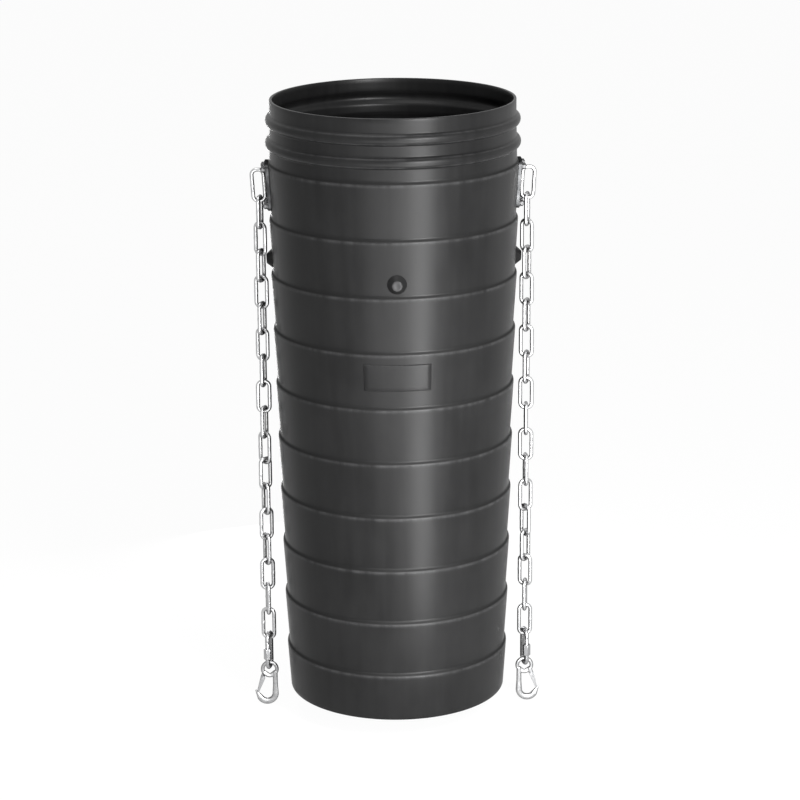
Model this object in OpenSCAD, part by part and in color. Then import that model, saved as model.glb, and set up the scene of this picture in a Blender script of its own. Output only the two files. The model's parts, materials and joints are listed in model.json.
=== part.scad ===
// One hanging section of a rubble chute: a stepped, tapered plastic shell with two hanging chains.
// The origin is the centre of the top mouth, +Z is up and the front is -Y. Lengths are in millimetres.
// "Depth" is a distance below the top mouth. Side pieces are drawn with +X outward, then turned into place.

/* [Shell] */
// Height of the shell, mouth to lower edge
shell_h = 1098; // [1060:1:1104]
// Thickness of the shell's wall
wall = 5; // [4:0.5:6]
// Outer radius of the straight band at the mouth
rim_r = 218; // [216:0.5:220.5]
// Height of the straight band at the mouth
rim_band_h = 26; // [20:1:28]
// Height of one hoop bead
bead_h = 20; // [18:1:21]
// How far a hoop bead stands out
bead_out = 7.5; // [7:0.5:8.5]
// Distance between the two hoop beads
bead_pitch = 40; // [34:1:44]
// Depth of the first step
first_step = 107; // [104:1:110]
// Distance from one step to the next
step_pitch = 100; // [98:0.5:101]
// Number of steps
step_count = 10; // [8:1:10]
// How far a step stands out
step_out = 3.8; // [2:0.2:5]
// Height of the slope at a step
shoulder_h = 7; // [4:0.5:8]
// Outer radius at the top of the first band
first_band_r = 223.4; // [219:0.1:228]
// Number of bands in the slow taper under the mouth
upper_bands = 2; // [2:1:4]
// Loss of radius from band to band in the slow taper
upper_drop = 1.6; // [1:0.1:3]
// Loss of radius from band to band further down
band_drop = 2.4; // [1.6:0.1:3.4]
// Chamfer on the mouth's and the lower edge's outer corners
edge_chamfer = 1; // [0.5:0.25:2]

/* [Raised plate] */
// Width of the bare raised plate, along the wall
panel_w = 120; // [80:1:160]
// Height of the raised plate
panel_h = 50; // [30:1:60]
// How far the raised plate stands out
panel_out = 2; // [1:0.5:3]
// Depth of the raised plate's middle
panel_depth = 454; // [446:1:466]

/* [Anchors] */
// Depth of the anchor plate's middle
anchor_depth = 154; // [153:0.5:156]
// Height of the anchor plate
plate_h = 84; // [78:1:88]
// Width of the anchor plate
plate_w = 60; // [52:1:70]
// Thickness of the anchor plate
plate_t = 5; // [4:0.5:6]
// Corner radius of the anchor plate
plate_corner = 8; // [4:1:10]
// How deep the first link is sunk into the anchor plate by its weld
weld_sink = 0.4; // [0.2:0.1:0.8]
// Distance between the anchor bolts, up and down
bolt_rise = 66; // [58:1:68]
// Distance between the anchor bolts, sideways
bolt_span = 40; // [34:1:42]

/* [Fasteners] */
// Diameter of the bolts and screws
bolt_d = 6; // [5:0.5:8]
// Diameter of a cup head
head_d = 16; // [13:0.5:18]
// Height of a cup head
head_h = 3.6; // [3:0.2:4.5]
// Diameter of a washer
washer_d = 14; // [13:0.5:16]
// Thickness of a washer
washer_t = 1.6; // [1:0.2:2]
// Width of a nut across its flats
nut_af = 10; // [9:0.5:13]
// Height of a nut
nut_h = 5; // [4:0.5:6.5]
// How far a bolt's end stands out of its nut
bolt_end = 1.5; // [1:0.5:3]

/* [Stop studs] */
// Depth of the stop studs
stud_depth = 287; // [286.5:0.5:289]
// Diameter of a stop stud at the wall
stud_base_d = 34; // [28:1:36]
// Diameter of a stop stud's tip
stud_tip_d = 17; // [14:0.5:18]
// How far a stop stud stands out
stud_out = 10.5; // [8:0.5:11]
// How deep the screw goes into a stop stud
stud_screw_in = 7; // [5:0.5:7.5]

/* [Chain] */
// Diameter of the chain's wire
wire_d = 7; // [6:0.1:7]
// Inner length of a chain link, which is the chain's pitch
link_l = 49; // [47:0.5:51]
// Inner width of a chain link
link_w = 14; // [13:0.5:16]
// Length of the straight middle of a link's end
crown_l = 3; // [2:0.5:4]

/* [Quick links] */
// Diameter of the quick link's wire
quick_d = 8; // [7:0.1:8]
// Inner length of the quick link
quick_l = 58; // [54:1:62]
// Inner width of the quick link
quick_w = 17; // [16:0.5:20]
// Length of the opening in the quick link's outer leg
quick_gap = 8; // [7.5:0.5:9]
// Height of the opening's middle over the quick link's middle
quick_gap_at = -4.5; // [-6:0.5:-3]
// Length of the sleeve nut
sleeve_l = 21; // [18:0.5:22]
// Width of the sleeve nut across its flats
sleeve_af = 12.5; // [11:0.5:13]
// Height of the sleeve nut's middle over the quick link's middle, screwed shut
sleeve_at = -3.5; // [-4.5:0.5:-3]

/* [Snap hooks] */
// Diameter of the hole in the hook's eye
eye_hole_d = 19.5; // [18:0.5:22]
// Thickness of the ring round the eye
eye_wire_d = 7; // [6:0.5:7.5]
// Thickness of the hook's back
hook_d = 9.4; // [8.4:0.1:10]
// Thickness of the hook's bend
bend_d = 11.6; // [10:0.1:12]
// Length over which the back grows to the bend's thickness
back_taper_l = 16; // [12:0.5:20]
// Distance of the hook's back from the eye's middle
hook_back = 10; // [9:0.5:12]
// Radius of the hook's bend, at the middle of the bar
bend_r = 15.4; // [15:0.1:16]
// Distance of the bend's middle below the eye's middle
bend_down = 48.4; // [47:0.1:49]
// Angle through which the bend turns
bend_angle = 150; // [147:1:153]
// Length of the tapered tip
tip_l = 15.5; // [14:0.5:16]
// Diameter of the tip's end
tip_d = 3; // [2.4:0.2:3.2]

/* [Latches] */
// Distance of the latch pin outward from the eye's middle
pivot_out = 13; // [12.5:0.25:13.25]
// Distance of the latch pin below the eye's middle
pivot_down = 16.5; // [16:0.25:17]
// Length of the latch, pin to end
latch_l = 30; // [28:0.5:31]
// Lean of the latch outward
latch_lean = 19; // [17:0.5:19.5]
// Distance between the latch's two cheeks
latch_gap = 9.2; // [9:0.1:10]
// Distance of the latch's web below its eye
web_down = 4.8; // [4:0.2:6]
// Thickness of the latch's sheet
latch_t = 1.2; // [1:0.1:1.4]
// Diameter of the latch round its pin
latch_eye_d = 8.4; // [7.5:0.1:9]
// Diameter of the latch's end
latch_end_d = 3.4; // [3:0.1:3.6]
// Diameter of the latch pin
pin_d = 3; // [2.5:0.1:3.2]
// Diameter of the latch pin's two heads
pin_head_d = 5.2; // [4.5:0.1:6]
// Height of the latch pin's two heads
pin_head_h = 1; // [0.8:0.1:1.4]
// Thickness of the boss that carries the latch pin
boss_t = 4.4; // [4:0.1:4.6]
// Diameter of the latch spring's wire
spring_d = 0.8; // [0.6:0.05:0.85]
// Middle radius of the latch spring's coil
spring_r = 3; // [2.7:0.05:3.1]
// Turns of the latch spring
spring_turns = 2.25; // [1.25:1:2.25]
// Distance from turn to turn in the latch spring
spring_pitch = 1.25; // [1.25:0.01:1.3]

/* [Clearances] */
// Gap where one link hangs in another
hang_gap = 0.3; // [0.2:0.05:0.4]
// Gap between a seated piece and the curved wall under it
seat_gap = 0.1; // [0.05:0.05:0.2]
// Gap round a bolt in its hole
hole_gap = 0.2; // [0.15:0.05:0.4]
// Gap round a bolt in its nut, in place of the thread
thread_gap = 0.1; // [0.05:0.05:0.15]
// Gap round the quick link's leg in the sleeve nut
sleeve_gap = 0.3; // [0.2:0.05:0.4]
// Gap round the latch pin in the latch
pin_gap = 0.15; // [0.1:0.05:0.2]

/* [Hidden] */
$fn = 64;
// Facets of the wide cone that trims a stud's foot to the shell
stud_seat_facets = 256;
// How many times the size of what it cuts a cutter is drawn, so that it passes right through
cut_through = 4;

// Turn of each chain link about the vertical, as the two chains hang: 0 faces the front
left_turns = [0, 75, 143, 242, 338, 65, 149, 255, 0, 70, 142, 217, 297, 25, 115, 190, 279, 165];
right_turns = [0, 75, 143, 240, 330, 65, 160, 70, 172, 88, 170, 95, 20, 125, 50, 155, 80, 5];
// Turn of each quick link about the vertical
left_quick_turn = 75;
right_quick_turn = 105;

link_count = len(left_turns);
sides = ["left", "right"];
function two_digits(i) = str(i < 10 ? "0" : "", i);
function link_name(side, i) = str(side, "_link_", two_digits(i));
fitting_names = ["quick_link", "sleeve_nut", "snap_hook", "hook_latch", "latch_pin", "latch_spring"];
stud_turns = [["right", 0], ["back", 90], ["left", 180], ["front", 270]];

// Outline of the shell: radii and depths of the steps and bands
function step_depth(k) = first_step + step_pitch * (k - 1);
function band_top_r(k) =
    first_band_r - upper_drop * min(k - 1, upper_bands) - band_drop * max(k - 1 - upper_bands, 0);
function band_end_r(k) = band_top_r(k + 1) - step_out;
function band_at(depth) = min(max(floor((depth - first_step) / step_pitch) + 1, 1), step_count);
function band_fall(k) = (band_top_r(k) - band_end_r(k)) / (step_pitch - shoulder_h);
function wall_r(depth) =
    let (k = band_at(depth)) band_top_r(k) - band_fall(k) * (depth - step_depth(k) - shoulder_h);
function wall_lean(depth) = atan(band_fall(band_at(depth)));

// Outline of the head: a straight rim, then a gentle taper that carries the two beads
neck_r = band_end_r(0);
function head_r(depth) =
    rim_r - (rim_r - neck_r) * (depth - rim_band_h) / (first_step - rim_band_h);
bead_depths = [rim_band_h + bead_h / 2, rim_band_h + bead_h / 2 + bead_pitch];
bead_r = (bead_h * bead_h / 4 + bead_out * bead_out) / (2 * bead_out);
bead_sweep = asin(bead_h / 2 / bead_r);
bead_points = 12;
function bead_centre_r(depth) = head_r(depth) + bead_out - bead_r;
// An arc of a bead in the radial plane, from its upper end to its lower end
function bead_arc(depth, r, sweep) = [
    for (i = [0 : bead_points])
        let (a = sweep * (1 - 2 * i / bead_points)) [bead_centre_r(depth) + r * cos(a), r * sin(a) - depth]
];
function inner_bead(depth) = concat(
    [[head_r(depth) - wall, bead_r - wall - depth]],
    bead_arc(depth, bead_r - wall, 90),
    [[head_r(depth) - wall, wall - bead_r - depth]]
);
function step_points(inset) = [
    for (k = [1 : step_count])
        for (p = [[band_end_r(k - 1), step_depth(k)], [band_top_r(k), step_depth(k) + shoulder_h]])
            [p[0] - inset, -p[1]]
];
lower_r = wall_r(shell_h);
outer_points = concat(
    [[rim_r - edge_chamfer, 0], [rim_r, -edge_chamfer], [rim_r, -rim_band_h]],
    bead_arc(bead_depths[0], bead_r, bead_sweep),
    bead_arc(bead_depths[1], bead_r, bead_sweep),
    step_points(0),
    [[wall_r(shell_h - edge_chamfer), edge_chamfer - shell_h], [lower_r - edge_chamfer, -shell_h]]
);
inner_points = concat(
    [[rim_r - wall, 0], [rim_r - wall, -rim_band_h]],
    inner_bead(bead_depths[0]),
    inner_bead(bead_depths[1]),
    step_points(wall),
    [[lower_r - wall, -shell_h]]
);
function reversed(list) = [for (i = [len(list) - 1 : -1 : 0]) list[i]];

// Diameters of a bolt's hole, and of the plain bore of a nut or stud
bolt_hole_d = bolt_d + 2 * hole_gap;
nut_bore_d = bolt_d + 2 * thread_gap;

// Places of the bolts on an anchor plate: depth and turn about the axis
bolt_turn = asin(bolt_span / 2 / wall_r(anchor_depth));
bolt_places = [
    for (rise = [-1, 1])
        for (turn = [-1, 1]) [anchor_depth + rise * bolt_rise / 2, turn * bolt_turn]
];

// Loops of wire: half sizes to the middle of the wire
link_half_l = link_l / 2 + wire_d / 2;
link_half_w = link_w / 2 + wire_d / 2;
quick_half_l = quick_l / 2 + quick_d / 2;
quick_half_w = quick_w / 2 + quick_d / 2;
eye_r = eye_hole_d / 2 + eye_wire_d / 2;

// Way down a chain: the first link lies on its plate, and each next piece hangs in the one above
anchor_lean = wall_lean(anchor_depth);
anchor_stand = plate_t + seat_gap + wire_d / 2 + link_half_w - weld_sink;
anchor_x = wall_r(anchor_depth) + anchor_stand / cos(anchor_lean);
chain_x = anchor_x - link_half_l * sin(anchor_lean);
first_crown_z = -anchor_depth - link_half_l * cos(anchor_lean);
link_drop = 2 * link_half_l - wire_d - hang_gap;
function crown_z(i) = first_crown_z - link_drop * (i - 1);
function link_z(i) = crown_z(i) + link_half_l;
quick_z = crown_z(link_count) + (wire_d + quick_d) / 2 + hang_gap - quick_half_l;
quick_crown_z = quick_z - quick_half_l;
eye_z = quick_crown_z + (quick_d + eye_wire_d) / 2 + hang_gap - eye_r;

// Latch pin: the boss is off centre, so that the spring fits beside it
latch_w = latch_gap + 2 * latch_t;
boss_side = -latch_gap / 2 + seat_gap * 2;
spring_y = boss_side + boss_t + hang_gap + spring_d / 2;

// Latch spring: one leg along the latch, the coil round the pin, one leg under the eye
spring_sides = 6;
turn_rings = 8;
coil_rings = spring_turns * turn_rings;
leg_slant = 9;
spring_start = latch_lean - leg_slant;
leg_down = 12;
leg_up = 4.5;
function coil_point(i) =
    let (a = spring_start + 360 * i / turn_rings)
    [spring_r * cos(a), spring_y + spring_pitch * i / turn_rings, spring_r * sin(a)];
function coil_run(i) = let (a = spring_start + 360 * i / turn_rings) [-sin(a), 0, cos(a)];
spring_path = concat(
    [coil_point(0) - leg_down * coil_run(0)],
    [for (i = [0 : coil_rings]) coil_point(i)],
    [coil_point(coil_rings) + leg_up * coil_run(coil_rings)]
);
// Least gap of the coil to itself, between points one turn apart
spring_gap = min([
    for (i = [0 : coil_rings - turn_rings]) norm(coil_point(i + turn_rings) - coil_point(i))
]) - spring_d;
echo(latch_spring_least_gap = spring_gap);

function unit(v) = v / norm(v);
function path_run(path, i) = unit(path[min(i + 1, len(path) - 1)] - path[max(i - 1, 0)]);
// A ring of points round one point of a path that winds round the Y axis
function path_ring(path, i, d) =
    let (
        run = path_run(path, i),
        across = unit(cross(run, [0, 1, 0])),
        up = cross(across, run)
    )
    [for (s = [0 : spring_sides - 1])
        let (a = 360 * s / spring_sides) path[i] + d / 2 * (across * cos(a) + up * sin(a))];

// A tube of triangles along a path
module tube(path, d) {
    rings = len(path);
    n = spring_sides;
    points = [for (i = [0 : rings - 1]) each path_ring(path, i, d)];
    walls = [for (i = [0 : rings - 2]) for (s = [0 : n - 1])
        let (a = i * n + s, b = i * n + (s + 1) % n)
        each [[a, b, a + n], [b, b + n, a + n]]];
    caps = [for (s = [1 : n - 2])
        each [[0, s + 1, s], [(rings - 1) * n, (rings - 1) * n + s, (rings - 1) * n + s + 1]]];
    polyhedron(points, concat(walls, caps));
}

// Turns a side piece, drawn with +X outward, to its side
module on_side(side) {
    rotate([0, 0, side == "left" ? 180 : 0])
        children();
}

// Stands a piece on the wall's outer face at a depth and a turn, with +Z along the face's normal
module on_wall(depth, turn) {
    rotate([0, 0, turn])
        translate([wall_r(depth), 0, -depth])
            rotate([0, 90 + wall_lean(depth), 0])
                children();
}

// Part of a cone's wall that follows the shell, between two depths and over an angle about +X
module wall_patch(top, bottom, angle, from, to) {
    rotate([0, 0, -angle / 2])
        rotate_extrude(angle = angle)
            polygon([
                [wall_r(top) + from, -top],
                [wall_r(top) + to, -top],
                [wall_r(bottom) + to, -bottom],
                [wall_r(bottom) + from, -bottom]
            ]);
}

// A closed loop of wire in the XZ plane with its long way upright
module wire_loop(half_l, half_w, d) {
    corner_r = half_w - crown_l / 2;
    straight = half_l - corner_r;
    for (side = [-1, 1]) {
        translate([side * half_w, 0, -straight])
            cylinder(h = 2 * straight, d = d);
        translate([-crown_l / 2, 0, side * half_l])
            rotate([0, 90, 0])
                cylinder(h = crown_l, d = d);
    }
    for (turn = [0 : 90 : 270]) {
        x = (turn == 0 || turn == 270) ? 1 : -1;
        z = turn < 180 ? 1 : -1;
        translate([x * crown_l / 2, 0, z * straight])
            rotate([90, 0, 0])
                rotate([0, 0, turn])
                    rotate_extrude(angle = 90)
                        translate([corner_r, 0])
                            circle(d = d);
    }
}

// A rectangle with round corners
module rounded_plate(w, h, r) {
    square([w - 2 * r, h], center = true);
    square([w, h - 2 * r], center = true);
    for (x = [-1, 1]) for (y = [-1, 1])
        translate([x * (w / 2 - r), y * (h / 2 - r)])
            circle(r = r);
}

// Cup head: a flat underside and a crown of part of a sphere
module cup_head() {
    crown_r = (head_d * head_d / 4 + head_h * head_h) / (2 * head_h);
    intersection() {
        translate([0, 0, head_h - crown_r])
            sphere(r = crown_r);
        cylinder(h = head_h, d = 2 * head_d);
    }
}

module shell() {
    drill = cut_through * wall;
    color("#2b2d2f")
        difference() {
            union() {
                rotate_extrude()
                    polygon(concat(outer_points, reversed(inner_points)));
                rotate([0, 0, -90])
                    wall_patch(
                        panel_depth - panel_h / 2,
                        panel_depth + panel_h / 2,
                        panel_w / wall_r(panel_depth) * 180 / PI,
                        -wall / 2,
                        panel_out
                    );
            }
            for (side = sides)
                on_side(side)
                    for (place = bolt_places)
                        on_wall(place[0], place[1])
                            cylinder(h = drill, d = bolt_hole_d, center = true);
            for (stud = stud_turns)
                on_wall(stud_depth, stud[1])
                    cylinder(h = drill, d = bolt_hole_d, center = true);
        }
}

module anchor_plate(side) {
    spare_angle = 2;
    plate_angle = 2 * asin(plate_w / 2 / wall_r(anchor_depth)) + spare_angle;
    reach = anchor_x;
    color("#45474a")
        on_side(side)
            difference() {
                intersection() {
                    wall_patch(
                        anchor_depth - plate_h / 2,
                        anchor_depth + plate_h / 2,
                        plate_angle,
                        seat_gap,
                        seat_gap + plate_t
                    );
                    translate([0, 0, -anchor_depth])
                        rotate([90, 0, 90])
                            linear_extrude(height = reach)
                                rounded_plate(plate_w, plate_h, plate_corner);
                }
                for (place = bolt_places)
                    on_wall(place[0], place[1])
                        cylinder(h = cut_through * plate_t, d = bolt_hole_d, center = true);
            }
}

module anchor_bolts() {
    shank_l = wall + seat_gap + plate_t + seat_gap + washer_t + nut_h + bolt_end;
    color("#5c5e61")
        for (side = sides)
            on_side(side)
                for (place = bolt_places)
                    on_wall(place[0], place[1])
                        translate([0, 0, -wall - 2 * seat_gap]) {
                            cylinder(h = shank_l + 2 * seat_gap, d = bolt_d);
                            mirror([0, 0, 1])
                                cup_head();
                        }
}

module anchor_washers() {
    color("#5c5e61")
        for (side = sides)
            on_side(side)
                for (place = bolt_places)
                    on_wall(place[0], place[1])
                        translate([0, 0, plate_t + 2 * seat_gap])
                            difference() {
                                cylinder(h = washer_t, d = washer_d);
                                cylinder(h = cut_through * washer_t, d = bolt_hole_d, center = true);
                            }
}

module anchor_nuts() {
    color("#5c5e61")
        for (side = sides)
            on_side(side)
                for (place = bolt_places)
                    on_wall(place[0], place[1])
                        translate([0, 0, plate_t + 2 * seat_gap + washer_t])
                            difference() {
                                cylinder(h = nut_h, d = nut_af / cos(30), $fn = 6);
                                cylinder(h = cut_through * nut_h, d = nut_bore_d, center = true);
                            }
}

module stop_stud(turn) {
    slope = (stud_base_d - stud_tip_d) / 2 / stud_out;
    below = wall;
    foot_d = stud_base_d + 2 * slope * below;
    color("#191a1b")
        difference() {
            on_wall(stud_depth, turn)
                difference() {
                    translate([0, 0, -below])
                        cylinder(h = below + stud_out, d1 = foot_d, d2 = stud_tip_d);
                    translate([0, 0, -below])
                        cylinder(h = below + stud_screw_in + hole_gap, d = nut_bore_d);
                }
            translate([0, 0, -stud_depth - stud_base_d])
                cylinder(
                    h = 2 * stud_base_d,
                    r1 = wall_r(stud_depth) - band_fall(band_at(stud_depth)) * stud_base_d + seat_gap,
                    r2 = wall_r(stud_depth) + band_fall(band_at(stud_depth)) * stud_base_d + seat_gap,
                    $fn = stud_seat_facets
                );
        }
}

module stud_screws() {
    color("#5c5e61")
        for (stud = stud_turns)
            on_wall(stud_depth, stud[1])
                translate([0, 0, -wall - 2 * seat_gap]) {
                    cylinder(h = wall + 2 * seat_gap + stud_screw_in, d = bolt_d);
                    mirror([0, 0, 1])
                        cup_head();
                }
}

module chain_link(side, i) {
    turns = side == "left" ? left_turns : right_turns;
    color("#c3c6c8")
        on_side(side)
            if (i == 1)
                translate([anchor_x, 0, -anchor_depth])
                    rotate([0, anchor_lean, 0])
                        wire_loop(link_half_l, link_half_w, wire_d);
            else
                translate([chain_x, 0, link_z(i)])
                    rotate([0, 0, turns[i - 1]])
                        wire_loop(link_half_l, link_half_w, wire_d);
}

// Stands a piece at a quick link's middle, with +X towards its opening leg
module at_quick_link(side) {
    on_side(side)
        translate([chain_x, 0, quick_z])
            rotate([0, 0, side == "left" ? left_quick_turn : right_quick_turn + 180])
                children();
}

module quick_link(side) {
    color("#c9cbcd")
        at_quick_link(side)
            difference() {
                wire_loop(quick_half_l, quick_half_w, quick_d);
                translate([quick_half_w, 0, quick_gap_at])
                    cube([2 * quick_d, 2 * quick_d, quick_gap], center = true);
            }
}

module sleeve_nut(side) {
    color("#c9cbcd")
        at_quick_link(side)
            translate([quick_half_w, 0, sleeve_at - sleeve_l / 2])
                difference() {
                    cylinder(h = sleeve_l, d = sleeve_af / cos(30), $fn = 6);
                    cylinder(h = cut_through * sleeve_l, d = quick_d + 2 * sleeve_gap, center = true);
                }
}

// Stands a piece at a snap hook's eye
module at_eye(side) {
    on_side(side)
        translate([chain_x, 0, eye_z])
            children();
}

// Stands a piece at the middle of a latch pin, which lies along Y
module at_pin(side) {
    at_eye(side)
        translate([pivot_out, 0, -pivot_down])
            children();
}

// The hook without its holes: an eye, a back that grows thicker, a bend and a tapered tip
module hook_bar() {
    tip_lean = 180 - bend_angle;
    tip_root = 0.5;
    tip_inset = 0.15;
    rotate([90, 0, 0])
        rotate_extrude()
            translate([eye_r, 0])
                circle(d = eye_wire_d);
    translate([-hook_back, 0, -eye_wire_d])
        sphere(d = hook_d);
    translate([-hook_back, 0, back_taper_l - bend_down])
        cylinder(h = bend_down - back_taper_l - eye_wire_d, d = hook_d);
    translate([-hook_back, 0, -bend_down])
        cylinder(h = back_taper_l, d1 = bend_d, d2 = hook_d);
    translate([bend_r - hook_back, 0, -bend_down]) {
        rotate([90, 0, 0])
            rotate([0, 0, 180])
                rotate_extrude(angle = bend_angle)
                    translate([bend_r, 0])
                        circle(d = bend_d);
        rotate([0, tip_lean, 0])
            translate([bend_r, 0, -tip_root]) {
                cylinder(h = tip_root + tip_l, d1 = bend_d - tip_inset, d2 = tip_d);
                translate([0, 0, tip_root + tip_l])
                    sphere(d = tip_d);
            }
    }
}

// The boss that carries the latch pin, grown out of the eye
module hook_boss() {
    boss_r = latch_eye_d / 2;
    translate([0, boss_side + boss_t, 0])
        rotate([90, 0, 0]) {
            translate([pivot_out, -pivot_down, 0])
                cylinder(h = boss_t, r = boss_r);
            linear_extrude(height = boss_t)
                polygon([
                    [eye_r, 0],
                    [eye_r + eye_wire_d / 2, 0],
                    [pivot_out + boss_r, -pivot_down],
                    [pivot_out - boss_r, -pivot_down],
                    [0, -eye_r]
                ]);
        }
}

module snap_hook(side) {
    through = cut_through * bend_d;
    color("#bcbfc1")
        at_eye(side)
            difference() {
                union() {
                    hook_bar();
                    hook_boss();
                }
                translate([pivot_out, 0, -pivot_down])
                    rotate([90, 0, 0])
                        cylinder(h = through, d = pin_d, center = true);
                rotate([90, 0, 0])
                    cylinder(h = through, d = eye_hole_d - hang_gap, center = true);
            }
}

// One cheek of a latch, flat in the XZ plane, with its pin at the origin
module latch_cheek() {
    rotate([90, 0, 0]) {
        cylinder(h = latch_t, d = latch_eye_d);
        translate([0, -latch_l + latch_end_d / 2, 0])
            cylinder(h = latch_t, d = latch_end_d);
        linear_extrude(height = latch_t)
            polygon([
                [-latch_eye_d / 2, 0],
                [-latch_end_d / 2, -latch_l + latch_end_d / 2],
                [latch_end_d / 2, -latch_l + latch_end_d / 2],
                [latch_eye_d / 2, 0]
            ]);
    }
}

module hook_latch(side) {
    web_top = -latch_eye_d / 2 - web_down;
    web_end = -latch_l + latch_end_d / 2;
    slope = (latch_eye_d - latch_end_d) / 2 / (latch_l - latch_end_d / 2);
    color("#aeb1b3")
        at_pin(side)
            rotate([0, -latch_lean, 0])
                difference() {
                    union() {
                        for (y = [-latch_gap / 2, latch_w / 2])
                            translate([0, y, 0])
                                latch_cheek();
                        translate([0, latch_w / 2, 0])
                            rotate([90, 0, 0])
                                linear_extrude(height = latch_w)
                                    polygon([
                                        [latch_eye_d / 2 + slope * web_top - latch_t, web_top],
                                        [latch_eye_d / 2 + slope * web_top, web_top],
                                        [latch_end_d / 2, web_end],
                                        [latch_end_d / 2 - latch_t, web_end]
                                    ]);
                    }
                    rotate([90, 0, 0])
                        cylinder(h = 2 * latch_w, d = pin_d + 2 * pin_gap, center = true);
                }
}

module latch_pin(side) {
    pin_l = latch_w + 2 * pin_gap;
    color("#a0a3a5")
        at_pin(side)
            rotate([90, 0, 0]) {
                cylinder(h = pin_l, d = pin_d, center = true);
                for (end = [-1, 1])
                    translate([0, 0, end * (pin_l + pin_head_h) / 2])
                        cylinder(h = pin_head_h, d = pin_head_d, center = true);
            }
}

module latch_spring(side) {
    color("#d0d2d3")
        at_pin(side)
            tube(spring_path, spring_d);
}

module fitting(side, name) {
    if (name == "quick_link")
        quick_link(side);
    if (name == "sleeve_nut")
        sleeve_nut(side);
    if (name == "snap_hook")
        snap_hook(side);
    if (name == "hook_latch")
        hook_latch(side);
    if (name == "latch_pin")
        latch_pin(side);
    if (name == "latch_spring")
        latch_spring(side);
}

shell();
anchor_bolts();
anchor_washers();
anchor_nuts();
stud_screws();
for (stud = stud_turns)
    stop_stud(stud[1]);
for (side = sides)
    anchor_plate(side);
for (side = sides) for (i = [1 : link_count])
    chain_link(side, i);
for (side = sides) for (name = fitting_names)
    fitting(side, name);
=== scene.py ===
"""Looks of one hanging section of a rubble chute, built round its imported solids.

Everything is in metres in the part's own frame: the origin is the centre of the mouth, +Z is up and the front
is -Y. New pieces are surfaces worked out as whole arrays; the other solids keep their shape and get a finish.
"Depth" is a distance below the mouth.
"""

import json
import math

import bmesh
import bpy
import numpy as np
from mathutils import Matrix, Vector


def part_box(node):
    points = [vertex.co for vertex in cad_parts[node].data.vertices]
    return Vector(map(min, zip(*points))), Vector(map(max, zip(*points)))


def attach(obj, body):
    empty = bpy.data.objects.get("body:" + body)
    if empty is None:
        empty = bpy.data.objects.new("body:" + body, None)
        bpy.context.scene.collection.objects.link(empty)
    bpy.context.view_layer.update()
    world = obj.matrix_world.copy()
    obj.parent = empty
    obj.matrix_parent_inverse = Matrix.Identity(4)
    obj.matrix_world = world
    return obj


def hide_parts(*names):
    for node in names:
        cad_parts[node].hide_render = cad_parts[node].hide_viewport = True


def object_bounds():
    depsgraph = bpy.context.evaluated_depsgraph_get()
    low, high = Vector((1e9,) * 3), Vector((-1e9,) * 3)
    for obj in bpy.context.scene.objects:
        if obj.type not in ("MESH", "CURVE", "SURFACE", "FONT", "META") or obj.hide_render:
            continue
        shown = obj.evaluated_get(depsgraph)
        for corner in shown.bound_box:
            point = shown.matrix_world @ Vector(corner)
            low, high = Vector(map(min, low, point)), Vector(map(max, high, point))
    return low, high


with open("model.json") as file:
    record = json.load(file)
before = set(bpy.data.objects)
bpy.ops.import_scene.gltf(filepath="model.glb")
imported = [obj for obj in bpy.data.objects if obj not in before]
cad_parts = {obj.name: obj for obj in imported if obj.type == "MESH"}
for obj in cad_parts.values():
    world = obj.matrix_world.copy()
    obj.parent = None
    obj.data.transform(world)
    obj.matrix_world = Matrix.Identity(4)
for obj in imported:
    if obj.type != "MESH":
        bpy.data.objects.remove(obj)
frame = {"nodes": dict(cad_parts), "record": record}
cad_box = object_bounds()

MM = 0.001
SIDES = {"left": -1.0, "right": 1.0}
LINKS = 18

# Shell: the outline of the wall
SHELL_H = 1098 * MM
WALL = 5 * MM
RIM_R = 218 * MM
RIM_BAND_H = 26 * MM
BEAD_H = 20 * MM
BEAD_OUT = 7.5 * MM
BEAD_PITCH = 40 * MM
BEAD_SHOULDER = 7.5 * MM
BEAD_LINE = 0.9 * MM
# Depths of the beads' middles
BEADS = (RIM_BAND_H + BEAD_H / 2, RIM_BAND_H + BEAD_H / 2 + BEAD_PITCH)
FIRST_STEP = 107 * MM
STEP_PITCH = 100 * MM
STEP_COUNT = 10
STEP_OUT = 3.8 * MM
SHOULDER_H = 7 * MM
FIRST_BAND_R = 223.4 * MM
UPPER_BANDS = 2
UPPER_DROP = 1.6 * MM
BAND_DROP = 2.4 * MM
LIP_EASE = 1.2 * MM
LIP_CORNER = (0.3, 1.0)
OUTER_EASE = 1.0 * MM
WIDE_EASE = 4 * OUTER_EASE
INNER_EASE = 2.2 * MM
AROUND = 200
# Rounding of corners, in millimetres: between the points averaged, and how far they run past the ends
EASE_STEP = 0.25
EASE_MARGIN = 30
# Rows of the head: spacing at the beads, reach above and below them, and the few elsewhere, in millimetres
BEAD_ROW = 1.0 * MM
ABOVE_BEADS = 4 * MM
UNDER_BEADS = 5 * MM
HEAD_ROWS = (9, 17, 98)
# Rows of the bands, in millimetres from a step: close by it, and along the band under it
NEAR_STEP = (-6, -3.4, -2.2, -1.4, -0.7, 0, 0.7, 1.4, 2.4, 3.5, 4.6, 5.6, 6.3, 7, 7.7, 8.4, 9.4, 11, 14)
ALONG_BAND = (25, 45, 65, 82)
# Scuffs with painted highlight, as heights: of the rim, and of the line along a bead's shoulder, with a
# painted shade line beside it
RIM_WEAR_AND_HIGHLIGHT = 0.5 * MM
BEAD_RUB_AND_HIGHLIGHT = 0.7 * MM
SHADE_LINE_SHARE = 0.6
SHADE_LINE_OFF = 3

# Bare raised plate on the front
PANEL_W = 120 * MM
PANEL_H = 50 * MM
PANEL_OUT = 2 * MM
PANEL_DEPTH = 454 * MM
PANEL_EDGE = 2.6 * MM
PANEL_SUNK = 0.4 * MM

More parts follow.
